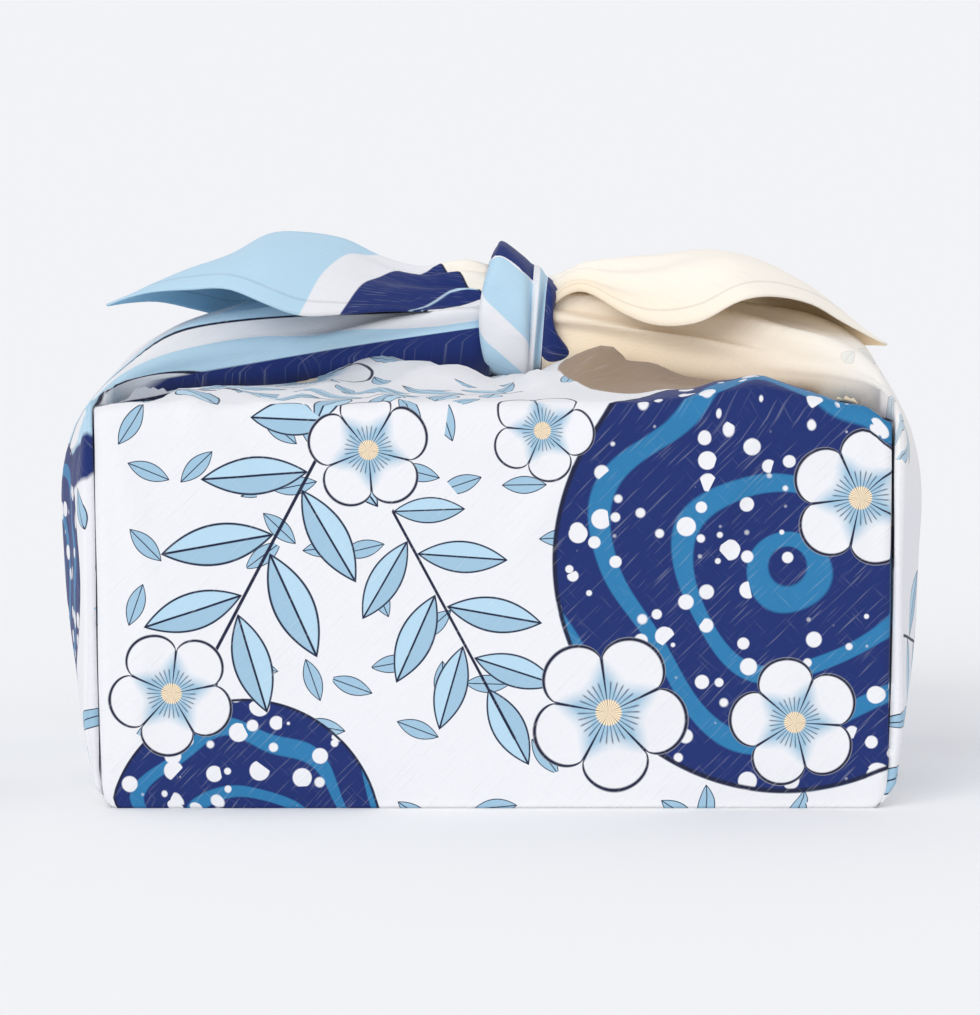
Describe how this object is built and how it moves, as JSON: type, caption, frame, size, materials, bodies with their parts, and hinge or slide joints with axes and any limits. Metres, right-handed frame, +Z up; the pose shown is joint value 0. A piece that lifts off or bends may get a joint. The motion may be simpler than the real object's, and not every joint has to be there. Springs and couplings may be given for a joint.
{
  "type": "furoshiki wrap",
  "caption": "Square printed cotton cloth wrapped round a box shape, its gathered ends knotted on top and its free corners spread to the sides.",
  "frame": {"origin": "on the surface under the middle of the wrap", "axes": "+X to the right and +Y to the back as seen from the front, +Z up; the cloth's gathered ends run along X"},
  "size_m": [0.3685, 0.267, 0.2356],
  "materials": {
    "cotton": "matt printed slub cotton"
  },
  "bodies": {
    "root": {"wrap_cloth": "cotton"}
  },
  "joints": []
}
